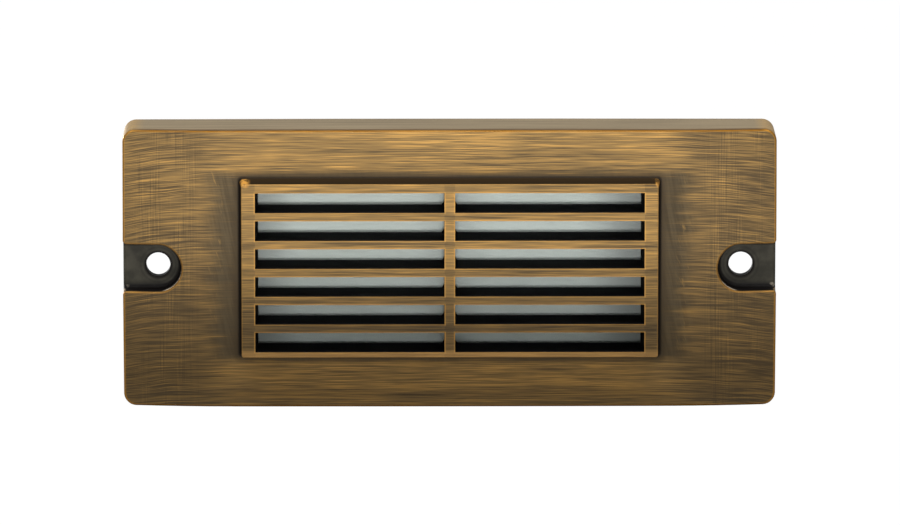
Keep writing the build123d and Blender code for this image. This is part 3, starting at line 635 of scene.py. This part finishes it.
FINISHES = {
    "antique_brass": antique_brass(),
    "silicone": moulded("silicone", (150, 152, 150), (172, 174, 172), 0.55, 0.4),
    "clear_glass": clear_glass(),
    # the opal sheet carries painted shade beside the mullion and toward the slots' outer ends
    "opal_sheet": moulded(
        "opal_sheet", (213, 217, 213), (220, 224, 221), 0.6, 0.12, 0.004, 30.0, painted_shade=painted_shade_behind_slots
    ),
    "white_nylon": moulded("white_nylon", (214, 214, 210), (226, 226, 222), 0.5, 0.2, 0.008),
    "white_board": solder_mask("white_board", (226, 228, 226), (214, 217, 215), (0.9, 0.9, 0.85)),
    "led_white": moulded("led_white", (228, 228, 222), (240, 240, 236), 0.35, 0.1, 0.003, 1.5),
    "led_phosphor": moulded("led_phosphor", (214, 178, 62), (236, 204, 96), 0.6, 0.05, 0.004, 0.8),
    "thermal_rubber": moulded("thermal_rubber", (92, 104, 122), (110, 122, 140), 0.75, 0.3, 0.02),
    "green_board": solder_mask("green_board", (14, 72, 36), (26, 96, 50), (0.0, 0.02, 0.0)),
    "black_package": moulded("black_package", (24, 24, 26), (38, 38, 41), 0.55, 0.08, 0.006, 1.2),
    "ferrite": moulded("ferrite", (46, 46, 49), (66, 66, 70), 0.7, 0.12, 0.012, 1.5),
    "can_aluminium": drawn_metal("can_aluminium", (176, 178, 181), (214, 215, 217), 0.3, (4.0, 0.3, 4.0)),
    "ceramic": moulded("ceramic", (146, 114, 76), (170, 136, 96), 0.5, 0.08, 0.006, 0.8),
    "zinc_steel": drawn_metal("zinc_steel", (150, 153, 156), (202, 204, 206), 0.32, (2.0, 2.0, 2.0)),
    "nickel_brass": drawn_metal("nickel_brass", (176, 158, 116), (214, 198, 154), 0.3, (0.2, 6.0, 6.0)),
    "natural_nylon": moulded("natural_nylon", (206, 202, 184), (224, 220, 204), 0.4, 0.2, 0.006, 3.0, 0.1),
    "red_wire": moulded("red_wire", (150, 18, 16), (176, 28, 24), 0.38, 0.15, 0.004, 2.0, 0.15),
    "black_wire": moulded("black_wire", (20, 20, 21), (34, 34, 35), 0.38, 0.15, 0.004, 2.0, 0.15),
    "solder": drawn_metal("solder", (168, 170, 172), (216, 217, 219), 0.25, (1.5, 1.5, 1.5)),
    "cover_steel": drawn_metal(
        "cover_steel", (146, 146, 144), (186, 186, 183), 0.38, (0.04, 1.0, 5.0), 0.005, tarnish=0.25
    ),
    "black_rubber": moulded("black_rubber", (22, 22, 23), (36, 36, 37), 0.7, depth_mm=0.015),
    "foam_rubber": foam("foam_rubber", (20, 20, 21), (46, 46, 47)),
}


def dress_nodes():
    """Each carried-over piece gets the finish that the record names for it."""
    for part in frame["record"]["subparts"]:
        for slot in nodes[part["node"]].material_slots:
            slot.material = FINISHES[part["material_slot"]]


dress_nodes()


# ---------------------------------------------------------------- floor, backdrop and light
SOFT_LIGHT = 0.25
MIRRORED_WHITE = 0.4
SHOWN_WHITE = 1.03
SHOWN_SHARE = 0.96
FLOOR_REACH_M = 3.0
LAMP_DISTANCE_M = 1.6
CARD_DISTANCE_M = 0.70
CARD_HALF_WIDTH_M = 0.4
CARD_BOTTOM_M = -0.022
CARD_TOP_M = -0.0055


def sheet(name, corners):
    """A flat sheet of one face."""
    mesh = bpy.data.meshes.new(name)
    mesh.from_pydata(corners, [], [(0, 1, 2, 3)])
    piece = bpy.data.objects.new(name, mesh)
    bpy.context.scene.collection.objects.link(piece)
    return piece


def rays_that_see(tree):
    """1 for the rays that show a surface: first the camera's and those through glass, then mirrored ones."""
    rays = tree.nodes.new("ShaderNodeLightPath")
    from_camera = Field(tree, rays.outputs["Is Camera Ray"])
    through_glass = Field(tree, rays.outputs["Is Transmission Ray"])
    return from_camera.at_least(through_glass), Field(tree, rays.outputs["Is Glossy Ray"])


def white_floor():
    """A white floor: shown white to the camera and to what mirrors it, less the shadow that lies on it."""
    material, tree, shader = new_material("white_floor")
    shader.inputs["Base Color"].default_value = (0.82, 0.82, 0.82, 1.0)
    shader.inputs["Roughness"].default_value = 0.9
    seen, mirrored = rays_that_see(tree)
    glow = tree.nodes.new("ShaderNodeEmission")
    feed(seen.spread(MIRRORED_WHITE, SHOWN_WHITE), glow.inputs["Strength"])
    mix = tree.nodes.new("ShaderNodeMixShader")
    feed(seen.at_least(mirrored) * SHOWN_SHARE, mix.inputs[0])
    tree.links.new(shader.outputs[0], mix.inputs[1])
    tree.links.new(glow.outputs[0], mix.inputs[2])
    tree.links.new(mix.outputs[0], tree.nodes["Material Output"].inputs["Surface"])
    level = plate_low.z * MM
    turns = ((-1, -1), (1, -1), (1, 1), (-1, 1))
    floor = sheet("floor", [(side * FLOOR_REACH_M, end * FLOOR_REACH_M, level) for side, end in turns])
    floor.data.materials.append(material)


def white_world():
    """White to the camera and through glass, dimmer in mirrors, and a plain soft light on everything."""
    world = bpy.data.worlds.new("studio")
    bpy.context.scene.world = world
    world.use_nodes = True
    background = world.node_tree.nodes["Background"]
    background.inputs["Color"].default_value = (1.0, 1.0, 1.0, 1.0)
    seen, mirrored = rays_that_see(world.node_tree)
    feed(mirrored.spread(SOFT_LIGHT, MIRRORED_WHITE).at_least(seen), background.inputs["Strength"])


def aim(piece, target_m):
    """Turns a lamp or the camera toward a point."""
    direction = Vector(target_m) - Vector(piece.location)
    piece.rotation_euler = direction.to_track_quat("-Z", "Y").to_euler()


def lamp(name, place_m, target_m, width_m, height_m, watts):
    """A flat, oblong lamp that the camera doesn't show."""
    light = bpy.data.lights.new(name, "AREA")
    light.shape = "RECTANGLE"
    light.size = width_m
    light.size_y = height_m
    light.energy = watts
    piece = bpy.data.objects.new(name, light)
    bpy.context.scene.collection.objects.link(piece)
    piece.location = place_m
    aim(piece, target_m)
    piece.visible_camera = False


def faded_lamp(name, elevation, watts):
    """A front lamp with a card low in its beam, so that its light fades down the plate."""
    tilt = math.radians(elevation)
    along = Vector((0.0, -math.cos(tilt), math.sin(tilt)))
    across = Vector((0.0, math.sin(tilt), math.cos(tilt)))
    lamp(name, along * LAMP_DISTANCE_M, (0.0, 0.0, 0.0), width_m=0.24, height_m=0.04, watts=watts)
    turns = ((-1, CARD_BOTTOM_M), (1, CARD_BOTTOM_M), (1, CARD_TOP_M), (-1, CARD_TOP_M))
    middle = along * CARD_DISTANCE_M
    corners = [
        middle + across * height + Vector((side * CARD_HALF_WIDTH_M, 0.0, 0.0)) for side, height in turns
    ]
    card = sheet(name + "_card", corners)
    for ray in ("camera", "diffuse", "glossy", "transmission"):
        setattr(card, "visible_" + ray, False)
    material, _, shader = new_material("black_card")
    shader.inputs["Base Color"].default_value = (0.02, 0.02, 0.02, 1.0)
    card.data.materials.append(material)


def camera(azimuth, elevation, distance_m, lens_mm, target_m):
    """The photograph's view: a little to the left and from above, through a long lens."""
    turn = math.radians(azimuth)
    tilt = math.radians(elevation)
    lens = bpy.data.cameras.new("camera")
    lens.lens = lens_mm
    lens.sensor_width = 36.0
    lens.clip_start = 0.05
    piece = bpy.data.objects.new("camera", lens)
    bpy.context.scene.collection.objects.link(piece)
    flat_m = distance_m * math.cos(tilt)
    piece.location = (
        target_m[0] + flat_m * math.sin(turn),
        target_m[1] - flat_m * math.cos(turn),
        target_m[2] + distance_m * math.sin(tilt),
    )
    aim(piece, target_m)
    bpy.context.scene.camera = piece


white_floor()
white_world()
lamp("overhead", (0.0, -0.10, 0.20), (0.0, -0.01, 0.01), width_m=0.5, height_m=0.12, watts=0.9)
lamp("rear", (-1.0, 1.1, 0.14), (0.0, 0.0, 0.0), width_m=0.5, height_m=0.2, watts=14.0)
faded_lamp("level_front", elevation=0.0, watts=10.0)
faded_lamp("raised_front", elevation=10.0, watts=4.8)
camera(azimuth=-0.4, elevation=10.5, distance_m=1.8, lens_mm=335.1, target_m=(0.00012, -0.0075, 0.0))
bpy.context.scene.view_settings.view_transform = "Standard"
